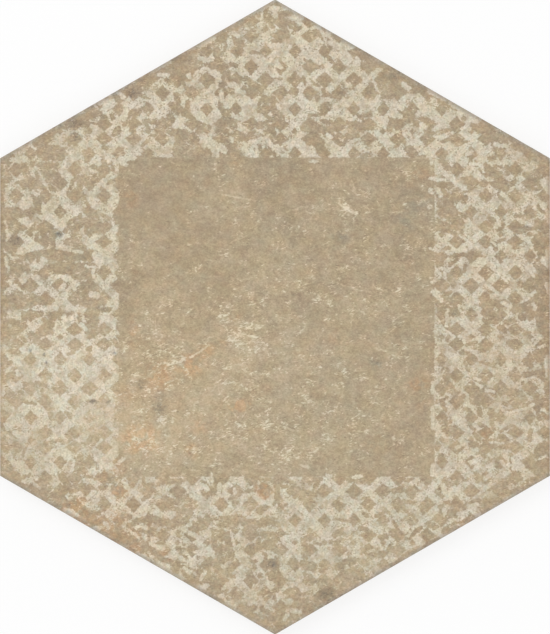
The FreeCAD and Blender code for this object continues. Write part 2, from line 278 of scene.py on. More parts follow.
# Strokes where it held out: in the worn places, across a diamond or over the edge of the plain square
KEPT = (
    (12, 160, 24, 159, 3), (120, 158, 124, 164, 3), (44, 207, 46, 216, 3.5), (36, 215, 44, 218, 2),
    (17, 253, 36, 249, 1.8), (63, 249, 82, 252, 1.8), (95, 253, 96, 260, 2.8), (86, 266, 96, 267, 1.8),
    (93, 270, 94, 277, 1.8), (14, 284, 24, 292, 1.5), (74, 288, 78, 283, 2.5), (92, 294, 97, 295, 3.5),
    (81, 324, 85, 328, 2.5), (88, 374, 95, 372, 5), (33, 193, 37, 194, 2.2), (104, 180, 105, 186, 2.5),
    (5, 258, 8, 268, 1.8), (116, 464, 124, 458, 2), (158, 74, 168, 75, 2), (188, 74, 189, 77, 2.2),
    (199, 58, 208, 61, 2.2), (118, 92, 123, 97, 2.5), (136, 107, 144, 103, 2), (126, 110, 123, 118, 3),
    (190, 99, 193, 107, 2), (192, 110, 198, 117, 2.5), (198, 118, 210, 122, 2.2), (120, 160, 134, 157, 2.5),
    (270, 8, 278, 8, 2.5), (274, 10, 275, 15, 3), (262, 12, 261, 19, 1.6), (234, 34, 238, 36, 2.3),
    (277, 60, 274, 69, 2), (279, 66, 281, 67, 2.5), (229, 84, 236, 86, 3), (236, 90, 244, 93, 2),
    (221, 92, 221, 100, 2.5), (245, 98, 250, 102, 3), (252, 102, 258, 97, 2.2), (265, 91, 268, 95, 1.8),
    (284, 84, 288, 88, 2.5), (277, 104, 279, 108, 2.2), (232, 115, 240, 118, 2.5), (220, 146, 224, 151, 3),
    (259, 139, 266, 137, 2.5), (268, 141, 271, 145, 2.5), (271, 145, 278, 154, 1.8),
    (230, 136, 232, 141, 1.8), (331, 42, 337, 46, 3), (320, 30, 326, 42, 1.6), (346, 48, 354, 46, 2),
    (374, 74, 378, 70, 2.5), (346, 85, 349, 84, 2.3), (403, 84, 408, 88, 2.8), (395, 105, 402, 108, 2.5),
    (389, 114, 400, 116, 2.3), (348, 119, 353, 119, 2.2), (326, 135, 331, 137, 2), (347, 144, 358, 139, 2),
    (405, 127, 411, 123, 1.8), (430, 159, 431, 163, 2), (310, 161, 315, 161, 2), (467, 122, 468, 129, 2.5),
    (494, 144, 506, 145, 2.2), (430, 178, 444, 180, 2), (451, 180, 460, 186, 2.2), (437, 190, 440, 195, 2.5),
    (500, 193, 510, 201, 2), (543, 203, 545, 209, 1.8), (525, 224, 532, 225, 1.8), (430, 248, 438, 250, 1.8),
    (490, 241, 496, 245, 1.5), (543, 260, 548, 264, 4), (438, 267, 448, 270, 1.5), (444, 272, 444, 278, 1.8),
    (527, 266, 533, 276, 2), (432, 291, 441, 300, 2.2), (458, 305, 461, 312, 1.6), (447, 310, 446, 326, 1.8),
    (432, 382, 432, 392, 2), (432, 407, 432, 427, 1.9), (432, 465, 432, 474, 2.3), (490, 296, 495, 295, 2),
    (502, 302, 510, 306, 2.3), (525, 300, 532, 294, 1.6), (533, 304, 534, 308, 2.3),
    (538, 347, 546, 345, 1.6), (485, 390, 493, 391, 2), (455, 447, 466, 442, 1.8), (470, 462, 474, 461, 2.8),
    (519, 463, 522, 466, 2.8), (500, 460, 503, 464, 1.8), (538, 458, 547, 455, 1.6), (88, 497, 94, 491, 2.3),
    (129, 529, 139, 538, 1.6), (214, 512, 216, 516, 2), (182, 527, 190, 524, 2), (189, 533, 198, 537, 2.5),
    (204, 531, 209, 530, 2), (194, 551, 209, 547, 1.8), (209, 548, 214, 556, 2.3), (182, 563, 197, 567, 1.4),
    (218, 493, 223, 495, 2.3), (264, 514, 276, 505, 2), (281, 538, 289, 536, 2.5), (231, 532, 236, 555, 1.6),
    (236, 570, 242, 564, 2), (322, 500, 333, 493, 1.8), (222, 588, 228, 583, 2), (250, 597, 254, 584, 1.8),
    (260, 597, 266, 606, 2), (293, 610, 299, 611, 2.5), (411, 482, 417, 479, 2.3), (442, 485, 445, 493, 2.8),
    (450, 491, 454, 487, 2.3), (468, 506, 476, 503, 2.3), (458, 514, 462, 513, 2.3),
    (407, 536, 413, 526, 1.6), (340, 499, 345, 500, 2), (368, 550, 374, 549, 1.8), (326, 475, 330, 476, 2),
    (23, 207, 28, 204, 3.5), (28, 226, 33, 221, 1.8), (61, 288, 64, 285, 3), (1, 386, 2, 393, 3),
    (17, 371, 18, 374, 2.5), (63.5, 316.5, 3), (16, 433, 24, 435, 3.5), (35.5, 477, 3),
    (99, 102, 112, 101, 3), (105, 107, 110, 104, 3), (157, 67, 168, 62, 3), (147, 93, 149, 96, 2.3),
    (92, 126, 95, 127, 3), (175, 126, 180, 119, 3), (218, 73, 219, 80, 2.5), (254, 12, 267, 5, 2.5),
    (201, 44, 212, 38, 3.5), (289, 8, 295, 11, 2.5), (244, 48, 248, 51, 2), (250, 142, 258, 141, 2.8),
    (421, 124, 424, 127, 2.6), (467, 153, 470, 152, 2.8), (469, 164, 480, 164, 2), (430, 91, 434, 93, 3),
    (437, 95, 443, 97, 3.3), (450, 103, 462, 110, 3), (465, 111, 473, 114, 3), (470, 115, 472, 120, 2.5),
    (429, 190, 431, 193, 2.3), (467, 219, 471, 225, 2), (478, 162, 483, 171, 1.8), (544, 182, 549, 190, 4.5),
    (539, 202, 542, 207, 2.2), (548, 212, 549, 221, 3), (480, 249, 485, 255, 2), (547, 251, 548, 256, 3),
    (530, 265, 534, 271, 2.2), (547, 284, 549, 292, 3), (474, 378, 479, 380, 2), (548, 359, 549, 374, 4.5),
    (506, 412, 511, 412, 2), (512, 411, 522, 409, 1.5), (522, 409, 532, 404, 1.6), (541, 409, 549, 412, 2),
    (512, 457, 513, 468, 2), (485, 478, 489, 474, 2.8), (120, 480, 127, 484, 1.6), (66, 510, 72, 513, 4),
    (72, 513, 77, 515, 2), (105, 522, 108, 527, 2.2), (150, 542, 154, 545, 2.3), (157, 547, 163, 547, 2.8),
    (168, 512, 173, 513, 2.4), (143, 555, 148, 560, 2.4), (195, 489, 203, 485, 3), (203, 485, 206, 488, 3),
    (190, 495, 198, 495, 2.4), (198, 492, 200, 498, 2.4), (200, 578, 205, 570, 1.8),
    (234, 494, 235, 488, 1.9), (219, 484, 219, 488, 2.3), (201, 587, 206, 585, 3), (249, 603, 254, 602, 2.3),
    (287, 601, 290, 600, 2.8), (284, 618, 287, 614, 2.2), (444, 509, 444, 514, 2.4),
    (481, 489, 487, 486, 2.6), (353, 476, 360, 476, 2), (211, 473, 211, 484, 1.2), (136, 526, 146, 526, 2),
)

# Streaks in the plain square: from x, y to x, y, half the width, and how much lighter or darker they are
STREAKS = (
    (157, 364, 167, 362, 0.8, 26), (168, 363, 180, 361, 1.1, 34), (180, 360, 193, 356, 1.1, 34),
    (193, 355, 201, 350, 0.9, 28), (201, 349, 209, 345, 0.8, 22), (146, 376, 157, 368, 1, 16),
    (238, 334, 256, 337, 1.1, 20), (226, 340, 236, 341, 1, 20), (219, 316, 228, 313, 1.2, 34),
    (229, 311, 238, 309, 0.7, 18), (222, 325, 227, 328, 0.9, 18), (222, 369, 231, 365, 0.7, 20),
    (232, 364, 241, 364, 0.7, 18), (242, 368, 250, 373, 0.7, 18), (261, 338, 263, 346, 0.6, 16),
    (155, 317, 156, 334, 0.6, 14), (133, 376, 150, 376, 0.7, 14), (222, 194, 238, 197, 0.8, 18),
    (239, 198, 255, 200, 0.7, 16), (224, 245, 247, 235, 0.6, 14), (240, 280, 256, 276, 0.7, 14),
    (205, 260, 215, 260, 0.6, 14), (287, 212, 298, 208, 0.9, 20), (299, 207, 307, 206, 0.8, 18),
    (305, 211, 313, 213, 0.8, 18), (351, 179, 355, 193, 0.7, 16), (352, 191, 359, 195, 0.7, 16),
    (362, 191, 369, 194, 0.7, 16), (297, 287, 315, 280, 0.6, 14), (285, 302, 295, 298, 0.6, 14),
    (340, 283, 360, 290, 0.7, 16), (372, 283, 377, 289, 0.8, 16), (362, 297, 366, 302, 0.7, 14),
    (384, 300, 388, 305, 0.8, 16), (403, 288, 416, 292, 0.7, 16), (361, 312, 366, 315, 0.8, 18),
    (374, 347, 385, 352, 0.7, 18), (390, 366, 400, 376, 0.6, 14), (360, 408, 372, 402, 0.6, 14),
    (280, 425, 293, 430, 0.8, 16), (272, 454, 277, 447, 0.8, 18), (290, 456, 307, 456, 0.9, 22),
    (301, 465, 309, 467, 0.9, 24), (357, 460, 364, 457, 0.7, 18), (353, 430, 368, 431, 0.8, 18),
    (200, 465, 212, 465, 0.7, 18), (190, 470, 200, 470, 0.7, 16), (180, 474, 185, 473, 0.8, 16),
    (240, 471, 247, 471, 0.7, 16), (262, 459, 268, 459, 0.7, 16), (211, 472, 213, 486, 0.9, 20),
    (183, 154, 191, 148, 0.8, 18), (191, 148, 198, 147, 0.8, 18), (343, 131, 349, 131, 2.2, 20),
    (360, 133, 362, 133, 1.6, 18), (430, 168, 447, 177, 1, 14), (170, 161, 180, 166, 0.7, 14),
    (245, 377, 258, 381, 0.7, -12), (258, 381, 270, 390, 0.7, -12), (245, 391, 256, 388, 0.6, -10),
    (290, 291, 300, 295, 1, -12), (291, 293, 300, 293, 0.8, -12), (388, 213, 400, 211, 1.1, 15),
    (418, 204, 424, 199, 1.6, 18), (338, 203, 344, 207, 1.2, 32), (345, 207, 356, 213, 1.7, 28),
)

# Soft patches: middle x and y, half the width and half the height, and how strong they are there
LIGHTER = (
    (70, 400, 130, 120, 14), (180, 410, 120, 110, 9), (250, 350, 90, 70, 6), (120, 430, 70, 60, 5),
    (150, 300, 60, 60, 4), (300, 520, 180, 70, 4), (300, 420, 120, 70, 2), (480, 400, 90, 120, 1),
    (275, 90, 270, 120, -5.5), (325, 592, 14, 10, -20), (440, 505, 50, 40, 4), (275, 165, 170, 34, -3),
    (122, 300, 26, 110, -4), (425, 330, 26, 110, -5), (250, 345, 60, 44, 4), (210, 430, 70, 56, 4),
    (90, 200, 40, 40, -4), (88, 385, 30, 40, -3), (330, 460, 50, 40, 2), (150, 170, 60, 50, -1.5),
    (239, 405, 16, 10, 6), (140, 440, 26, 22, 4), (75, 503, 14, 10, 5), (486, 432, 10, 10, -5),
    (420, 173, 16, 10, -4), (264, 490, 12, 12, -8), (150, 200, 36, 62, -3.4), (402, 186, 34, 32, -3.2),
    (302, 240, 32, 32, -3.4), (200, 290, 32, 30, -3.4), (250, 290, 30, 28, 5), (150, 350, 34, 54, -4.5),
    (250, 446, 32, 32, 3), (352, 446, 32, 32, 3), (402, 446, 34, 34, -4), (402, 340, 32, 32, -3),
    (547, 300, 26, 220, -10), (36, 142, 34, 24, -9), (82, 115, 34, 24, -9), (126, 90, 32, 22, -8),
    (170, 64, 32, 20, -5), (426, 205, 9, 7, 5), (376, 362, 11, 9, -4), (160, 407, 12, 18, -6),
    (340, 238, 12, 10, -5), (15, 240, 10, 10, -4), (140, 384, 10, 9, -3), (395, 508, 46, 34, 3.5),
    (60, 270, 74, 130, -2.6), (446, 196, 34, 40, -2),
)
PALER = (  # the print alone
    (60, 350, 80, 70, 5), (30, 200, 44, 54, -6), (495, 390, 70, 120, -3), (130, 100, 60, 40, 2),
    (275, 600, 130, 60, -8), (236, 500, 40, 24, -4), (395, 508, 40, 30, -3),
)
WARMER = (
    (510, 350, 100, 190, 0.25), (70, 300, 110, 190, -0.25), (330, 530, 180, 90, -0.1),
    (170, 400, 110, 100, 0.25), (275, 110, 280, 90, -0.2), (190, 320, 100, 140, 0.28),
    (340, 395, 50, 44, -0.2), (180, 330, 130, 190, 0.3), (494, 502, 9, 7, -0.8), (308, 606, 9, 8, -0.7),
    (105, 309, 6, 6, -0.7), (140, 384, 9, 8, 1),
)
REDDER = (
    (510, 350, 100, 190, 0.35), (545, 290, 24, 150, 0.4), (330, 530, 180, 90, -0.3), (130, 520, 70, 50, 0.35),
    (270, 430, 90, 60, -0.15), (75, 240, 50, 70, -0.15), (448, 220, 20, 20, 0.5), (150, 200, 60, 74, 0.16),
    (200, 330, 100, 60, 0.13), (350, 410, 64, 64, -0.28), (40, 146, 36, 16, 0.7), (512, 148, 36, 16, 0.6),
    (15, 240, 10, 10, 0.6), (264, 490, 12, 12, 1.6), (118, 490, 10, 9, 0.6), (180, 330, 130, 190, -0.25),
    (134, 547, 9, 7, 0.5), (526, 227, 12, 5, 0.5), (133, 93, 12, 12, 2), (454, 312, 10, 10, 1.1),
    (75, 137, 8, 8, 0.8), (426, 205, 9, 7, -0.8), (250, 60, 100, 50, 0.2), (140, 115, 90, 44, 0.2),
    (90, 320, 60, 60, 0.15), (400, 510, 70, 44, -0.2), (73, 124, 12, 8, 0.6),
)
BLUSHES = (
    (131, 196, 13, 18, 0.6), (234, 161, 10, 8, 0.4), (420, 173, 16, 10, 0.5), (410, 263, 14, 8, 0.35),
    (134, 330, 10, 24, 0.5), (206, 350, 12, 10, 0.8), (222, 343, 14, 8, 0.4), (421, 405, 8, 10, 0.5),
    (140, 440, 26, 22, 1), (124, 395, 12, 16, 0.4), (200, 427, 12, 10, 0.5), (333, 337, 14, 10, 0.35),
    (377, 443, 20, 14, 0.35), (233, 317, 8, 6, 0.6), (118, 490, 12, 11, 1.4), (75, 503, 14, 10, 1),
    (110, 525, 60, 34, 0.5), (165, 556, 10, 8, 0.8), (486, 432, 9, 9, 0.8), (66, 518, 30, 34, 0.6),
    (112, 472, 30, 24, 0.4), (150, 400, 60, 60, 0.15), (308, 606, 12, 10, 0.2), (494, 502, 9, 7, 0.3),
    (460, 522, 10, 8, 0.4), (264, 490, 12, 12, 2.4), (239, 405, 14, 8, 1.8), (190, 364, 20, 18, 0.9),
    (417, 384, 16, 9, 1), (160, 374, 22, 20, 0.75), (192, 450, 10, 10, 0.9), (134, 547, 10, 8, 1.4),
)
GREYS = (
    (411, 206, 40, 28, 0.4), (402, 224, 16, 12, 0.4), (366, 154, 9, 9, 0.7), (454, 313, 9, 9, 0.4),
    (526, 227, 14, 6, 0.4), (75, 137, 9, 9, 0.5), (376, 362, 12, 10, 0.7), (340, 238, 14, 11, 0.6),
    (59, 234, 9, 9, 0.8), (272, 563, 10, 8, 0.6), (426, 205, 12, 10, 0.1), (15, 240, 9, 9, 0.1),
)
DARK_SPOTS = (
    (52, 231, 8, 8, 0.4), (30, 350, 3, 3, 0.7), (44, 354, 3, 3, 0.7), (46, 362, 3, 3, 0.7),
    (114, 353, 3, 3, 0.7), (295, 294, 7, 3, 0.4), (395, 77, 7, 7, 0.3), (340, 93, 7, 7, 0.35),
    (370, 93, 7, 7, 0.35), (454, 313, 6, 7, 0.4), (526, 227, 11, 4, 0.4), (388, 78, 10, 9, 0.3),
    (250, 545, 8, 8, 0.4), (325, 592, 12, 8, 0.4), (426, 534, 8, 8, 0.4), (97, 308, 5, 4, 0.5),
    (160, 407, 13, 20, 0.42), (140, 384, 11, 10, 0.41), (340, 238, 13, 11, 0.35), (376, 362, 11, 9, 0.32),
    (75, 137, 10, 10, 0.5), (15, 240, 10, 10, 0.46), (105, 309, 6, 4.5, 0.58), (93, 401, 8, 3.5, 0.8),
    (108, 401, 4, 3, 0.8), (468, 443, 8, 8, 0.2), (133, 93, 10, 10, 0.6), (272, 563, 8, 6, 0.6),
    (59.5, 234, 5, 5, 0.58), (73, 123, 12, 8, 0.55),
)
PEPPERED = (
    (115, 108, 26, 20, 1), (205, 62, 24, 14, 0.5), (25, 157, 26, 14, 1), (512, 198, 46, 52, 1),
    (480, 465, 32, 18, 0.9), (368, 570, 14, 14, 0.9), (265, 518, 28, 18, 0.9), (100, 520, 80, 34, 0.6),
    (262, 612, 44, 24, 1), (15, 330, 24, 26, 0.8), (175, 542, 16, 14, 0.8), (400, 100, 60, 30, 0.3),
    (540, 320, 24, 160, 0.7), (480, 500, 60, 30, 0.6), (60, 130, 60, 30, 1), (160, 80, 50, 30, 0.9),
    (440, 418, 14, 18, 0.8), (310, 530, 190, 60, 0.25),
)
SCRATCHED = (
    (150, 350, 50, 60, 0.8), (240, 330, 50, 45, 1), (165, 410, 60, 80, 0.6), (250, 430, 110, 70, 0.6),
    (350, 205, 34, 34, 0.7), (325, 292, 70, 46, 0.6), (350, 405, 60, 70, 0.5), (400, 300, 50, 60, 0.4),
    (190, 215, 120, 60, -0.4), (420, 202, 20, 14, 0.9), (350, 208, 12, 8, 0.8), (358, 190, 12, 6, 0.7),
    (150, 446, 36, 36, 0.5), (250, 390, 36, 32, 0.45), (310, 440, 64, 44, 0.35), (300, 235, 30, 30, 0.25),
    (402, 350, 32, 60, 0.35), (400, 235, 28, 26, 0.3), (150, 200, 50, 56, -0.35), (200, 290, 32, 28, -0.5),
)
FADED = (  # where the print let the ground through
    (95, 416, 30, 24, 0.45), (14, 376, 18, 14, 0.4), (22, 448, 36, 36, 0.35), (485, 362, 22, 16, 0.35),
    (505, 404, 34, 30, 0.3), (264, 490, 10, 10, 0.9), (150, 484, 14, 8, 0.4), (300, 486, 14, 10, 0.4),
    (118, 445, 10, 26, 0.4), (100, 440, 24, 24, 0.2), (520, 150, 30, 20, 0.3), (40, 490, 30, 20, 0.2),
    (505, 488, 30, 16, 0.3), (60, 136, 16, 14, 0.35), (18, 157, 13, 9, 0.3), (526, 476, 13, 9, 0.35),
    (490, 495, 14, 8, 0.3), (404, 506, 40, 28, 0.15), (500, 400, 80, 110, 0.06), (330, 540, 180, 70, 0.03),
)
PATCHES = {  # the name that each list of soft patches has in the mesh
    "lighter": LIGHTER,
    "paler": PALER,
    "warmer": WARMER,
    "redder": REDDER,
    "blush": BLUSHES,
    "grey": GREYS,
    "dark": DARK_SPOTS,
    "pepper": PEPPERED,
    "scratched": SCRATCHED,
    "faded": FADED,
}
PATCH_FALL = 1.5  # how steeply a patch fades towards its outline
NO_STROKE = -6.0  # pixels outside every stroke beyond which nothing more is told
STREAK_REACH = 2.6  # pixels on each side of a streak that know how far it is
STREAK_TAPER = 0.6  # half width that a streak loses for each pixel beyond its ends
STROKE_BENDS = ((11.0, 0.6), (5.0, 0.8))  # size and push of the noise that bends the strokes, in pixels
STREAK_BENDS = ((9.0, 1.2),)


# Shape

def hexagon_corner(apothem, number, z):
    """A corner of a hexagon with that distance to its sides; number 1 points to +Y."""
    radius = apothem / math.cos(TURN / 2)
    angle = TURN * (number + 0.5)
    return np.array((radius * math.cos(angle), radius * math.sin(angle), z))


def outline(apothem, z):
    """Points along a hexagon, counter-clockwise, as many along each side as the face has."""
    points = []
    for number in range(SIDES):
        start = hexagon_corner(apothem, number, z)
        end = hexagon_corner(apothem, number + 1, z)
        points += [start + (end - start) * step / FACE_STEPS for step in range(FACE_STEPS)]
    return points


def section():
    """Apothem and height of each ring of the slab, from the edge of the back up to the edge of the face."""
    edge = ACROSS / 2
    foot = edge - SIDE_SETBACK
    shoulder = THICKNESS - ARRIS
    rings = [(foot - FOOT_BEVEL, 0.0)]
    for step in range(SIDE_STEPS):
        share = step / SIDE_STEPS
        rings.append((foot + SIDE_SETBACK * share, FOOT_BEVEL + (shoulder - FOOT_BEVEL) * share))
    for step in range(ARRIS_STEPS):
        angle = math.radians(90) * step / ARRIS_STEPS
        rings.append((edge - ARRIS + ARRIS * math.cos(angle), shoulder + ARRIS * math.sin(angle)))
    return rings


def face_lattice():
    """The lattice of the face: its points, its triangles, and the number of the point at each place."""
    size = FACE_STEPS
    first = hexagon_corner(ACROSS / 2 - ARRIS, 0, 0.0) / size
    second = hexagon_corner(ACROSS / 2 - ARRIS, 1, 0.0) / size
    middle = np.array((0.0, 0.0, THICKNESS))
    places = [(a, b) for a in range(-size, size + 1) for b in range(-size, size + 1) if abs(a + b) <= size]
    points = [middle + first * a + second * b for a, b in places]
    numbers = {place: index for index, place in enumerate(places)}
    triangles = []
    for a, b in places:
        for trio in (((a, b), (a + 1, b), (a, b + 1)), ((a, b), (a - 1, b), (a, b - 1))):
            if all(place in numbers for place in trio):
                triangles.append([numbers[place] for place in trio])
    return points, triangles, numbers


def face_rim(numbers):
    """The points along the rim of the face, counter-clockwise from the first corner."""
    rim = []
    a, b = FACE_STEPS, 0
    for step_a, step_b in ((-1, 1), (-1, 0), (0, -1), (1, -1), (1, 0), (0, 1)):
        for step in range(FACE_STEPS):
            rim.append(numbers[(a, b)])
            a += step_a
            b += step_b
    return rim


def slab_without_back():
    """The face, the rounded arris, the sides and the foot bevel."""
    points, faces, numbers = face_lattice()
    upper = face_rim(numbers)
    for apothem, z in reversed(section()):
        ring = outline(apothem, z)
        lower = list(range(len(points), len(points) + len(ring)))
        points += ring
        for index in range(len(ring)):
            after = (index + 1) % len(ring)
            faces.append((lower[index], lower[after], upper[after], upper[index]))
        upper = lower
    mesh = bpy.data.meshes.new("hexagon_tile")
    mesh.from_pydata(points, [], faces)
    return mesh


def add_back(body, solid):
    """Adds the back of the solid, with its honeycomb, to the slab, and joins the two along the foot."""
    back = bmesh.new()
    back.from_mesh(solid)
    bmesh.ops.remove_doubles(back, verts=back.verts, dist=SAME_PLACE)
    deepest = CELL_DEPTH + SAME_PLACE
    above = [face for face in back.faces if max(vertex.co.z for vertex in face.verts) > deepest]
    bmesh.ops.delete(back, geom=above, context="FACES")
    rim = [edge for edge in back.edges if edge.is_boundary]
    bmesh.ops.subdivide_edges(back, edges=rim, cuts=FACE_STEPS - 1)
    bmesh.ops.triangulate(back, faces=back.faces)
    piece = bpy.data.meshes.new("honeycomb_back")
    back.to_mesh(piece)
    back.free()
    body.from_mesh(piece)
    bpy.data.meshes.remove(piece)
    foot = [vertex for vertex in body.verts if vertex.co.z < SAME_PLACE]
    bmesh.ops.remove_doubles(body, verts=foot, dist=SAME_PLACE)


def unevenness(place):
    """Low relief of the pressed face, in metres: long waves, small dips and a fine ripple."""
    height = 0.0
    for size, strength, shift in RELIEF:
        height += strength * noise.noise(place / (size * MM) + Vector(shift))
    return height * MM


def press_relief(body):
    """Lowers the face and its arris by the relief, which fades out down the arris, and never lifts them."""
    shoulder = THICKNESS - ARRIS
    upper = [vertex for vertex in body.verts if vertex.co.z > shoulder + SAME_PLACE]
    heights = [unevenness(Vector((vertex.co.x, vertex.co.y, 0))) for vertex in upper]
    top = max(heights)
    for vertex, height in zip(upper, heights):
        share = (vertex.co.z - shoulder) / ARRIS
        vertex.co.z -= (top - height) * share


def tile_mesh(solid):
    """The whole tile, with the back of the solid and a dense face, arris and sides in place of its own."""
    mesh = slab_without_back()
    body = bmesh.new()
    body.from_mesh(mesh)
    add_back(body, solid)
    press_relief(body)
    body.to_mesh(mesh)
    body.free()
    mesh.shade_smooth()
    mesh.set_sharp_from_angle(angle=math.radians(SHARP_EDGE))
    return mesh


# Wear, told to the shader at each point of the mesh

def points_of(mesh):
    flat = np.empty(len(mesh.vertices) * 3)
    mesh.vertices.foreach_get("co", flat)
    return flat.reshape(-1, 3)


def photo_places(points):
    """Where each point lies in the photograph."""
    x = points[:, 0] / PIXEL + PHOTO_WIDTH / 2 - 0.5
    y = PHOTO_HEIGHT / 2 - points[:, 1] / PIXEL - 0.5
    return x, y


def wander(x, y, bends):
    """The same places, pushed about by smooth noise: each bend has a size and a push, in pixels."""
    moved_x, moved_y = x.copy(), y.copy()
    for size, push in bends:
        pushes = [noise.noise_vector(Vector((a, b, size)) / size) * push for a, b in zip(x, y)]
        moved_x += [away.x for away in pushes]
        moved_y += [away.y for away in pushes]
    return moved_x, moved_y


def rim_distance(points, bearings):
    """How far each point lies inside the nearest of the sides at those bearings, or opposite them, in mm."""
    angles = np.radians(bearings)
    reach = np.abs(points[:, :1] * np.cos(angles) + points[:, 1:2] * np.sin(angles)).max(axis=1)
    return (ACROSS / 2 - reach) / MM


def from_line(x, y, line):
    """How far each place lies beyond the line's ends, and to its side; a spot is a line of no length."""
    start_x, start_y, end_x, end_y = line
    run_x, run_y = end_x - start_x, end_y - start_y
    length = math.hypot(run_x, run_y)
    way_x, way_y = (run_x / length, run_y / length) if length else (1.0, 0.0)
    along = (x - start_x) * way_x + (y - start_y) * way_y
    across = (x - start_x) * way_y - (y - start_y) * way_x
    beyond = np.maximum(np.maximum(-along, along - length), 0.0)
    return beyond, across


def depth_in_strokes(x, y, strokes):
    """How far each place lies inside the strokes and spots, in pixels; negative outside them all."""
    depth = np.full(len(x), NO_STROKE)
    for *ends, half_width in strokes:
        beyond, across = from_line(x, y, (*ends[:2], *ends[-2:]))
        depth = np.maximum(depth, half_width - np.hypot(beyond, across))
    return depth


def streak_fields(x, y):
    """For the nearest streak: the signed distance across it, its half width there, and its strength."""
    nearest = np.full(len(x), STREAK_REACH)
    side = np.zeros(len(x))
    width = np.full(len(x), -1.0)
    strength = np.zeros(len(x))
    for *line, half_width, lightness in STREAKS:
        beyond, across = from_line(x, y, line)
        away = np.hypot(beyond, across)
        near = away < nearest
        nearest[near] = away[near]
        side[near] = across[near]
        width[near] = half_width - STREAK_TAPER * beyond[near]
        strength[near] = lightness
    return side, width, strength


def patches(x, y, places):
    """The sum of soft round patches."""
    total = np.zeros(len(x))
    for middle_x, middle_y, half_width, half_height, strength in places:
        away = ((x - middle_x) / half_width) ** 2 + ((y - middle_y) / half_height) ** 2
        total += strength * np.clip(1.0 - away, 0.0, 1.0) ** PATCH_FALL
    return total


def add_wear(mesh):
    """Stores every list of wear as a value at each point of the mesh."""
    points = points_of(mesh)
    x, y = photo_places(points)
    bent = wander(x, y, STROKE_BENDS)
    side, width, strength = streak_fields(*wander(x, y, STREAK_BENDS))
    values = {name: patches(x, y, places) for name, places in PATCHES.items()}
    values["rim"] = rim_distance(points, (0, 60, 120))
    values["slanted_rim"] = rim_distance(points, (60, 120))
    values["bare"] = depth_in_strokes(*bent, WORN) * PIXEL / MM
    values["kept"] = depth_in_strokes(*bent, KEPT) * PIXEL / MM
    values["streak_side"] = side * PIXEL / MM
    values["streak_width"] = width * PIXEL / MM
    values["streak_strength"] = strength
    for name, numbers in values.items():
        attribute = mesh.attributes.new(name, "FLOAT", "POINT")
        attribute.data.foreach_set("value", numbers.astype(np.float32))


# Shader arithmetic

NOISE_GAIN = 4.0  # brings the noise texture to a spread of about 1


class Field:
    """A number that varies over the surface; arithmetic on it adds Math nodes to the material."""

    tree = None  # the node tree of the material or world that is being made

    def __init__(self, socket):
        self.socket = socket

    def __add__(self, other):
        return compute("ADD", self, other)

    def __sub__(self, other):
        return compute("SUBTRACT", self, other)

    def __rsub__(self, other):
        return compute("SUBTRACT", other, self)

    def __mul__(self, other):
        return compute("MULTIPLY", self, other)

    def __truediv__(self, other):
        return compute("DIVIDE", self, other)

    def __abs__(self):
        return compute("ABSOLUTE", self)

    __radd__ = __add__
    __rmul__ = __mul__


def put(socket, value):
    """Links a field to a socket, or sets the socket to a plain value."""
    if isinstance(value, Field):
        Field.tree.links.new(value.socket, socket)
    else:
        socket.default_value = value


def add_node(kind, values=None, **settings):
    node = Field.tree.nodes.new(kind)
    for name, setting in settings.items():
        setattr(node, name, setting)
    for name, value in (values or {}).items():
        put(node.inputs[name], value)
    return node


def compute(operation, *values):
    node = add_node("ShaderNodeMath", operation=operation)
    for socket, value in zip(node.inputs, values):
        put(socket, value)
    return Field(node.outputs[0])


def least(first, second):
    return compute("MINIMUM", first, second)


def most(first, second):
    return compute("MAXIMUM", first, second)


def ease(value, low, high):
    """Rises smoothly from 0 at low to 1 at high."""
    limits = {"Value": value, "From Min": low, "From Max": high}
    node = add_node("ShaderNodeMapRange", limits, interpolation_type="SMOOTHSTEP")
    return Field(node.outputs["Result"])


def stored(name):
    """A value that add_wear stored in the mesh."""
    return Field(add_node("ShaderNodeAttribute", attribute_name=name).outputs["Fac"])


def grain(place, size, detail=0.0, roughness=1.0, turn=0.0, shift=0.0):
    """Smooth noise about zero, spread about 1.

    Its features have that size, or one each for X, Y and Z, and are turned by so many degrees. The shift
    gives it a place of its own in the noise.
    """
    sizes = size if isinstance(size, tuple) else (size, size, size)
    stretched = add_node(
        "ShaderNodeMapping",
        {
            "Vector": place,
            "Location": (shift, 2 * shift, 0.0),
            "Rotation": (0.0, 0.0, math.radians(turn)),
            "Scale": sizes,
        },
        vector_type="TEXTURE",
    )
    texture = add_node(
        "ShaderNodeTexNoise",
        {"Vector": Field(stretched.outputs[0]), "Scale": 1.0, "Detail": detail, "Roughness": roughness},
        normalize=False,
    )
    return Field(texture.outputs["Fac"]) * NOISE_GAIN


def linear(red, green, blue):
    """A colour from 0 to 255 on each channel, as the shader takes it."""
    channels = []
    for channel in (red, green, blue):
        part = channel / 255
        channels.append(part / 12.92 if part <= 0.04045 else ((part + 0.055) / 1.055) ** 2.4)
    return (*channels, 1.0)


def blended(share, first, second, way="MIX"):
    """The first colour, with the second laid over it by that share."""
    node = add_node("ShaderNodeMix", data_type="RGBA", blend_type=way, clamp_factor=True)
    colour_inputs = [socket for socket in node.inputs if socket.type == "RGBA"]
    put(node.inputs["Factor"], share)
    put(colour_inputs[0], first)
    put(colour_inputs[1], second)
    return Field([socket for socket in node.outputs if socket.type == "RGBA"][0])


def tinted(colour, tint, share):
    """The colour, multiplied by the tint as far as the share says."""
    return blended(share, colour, tint, "MULTIPLY")


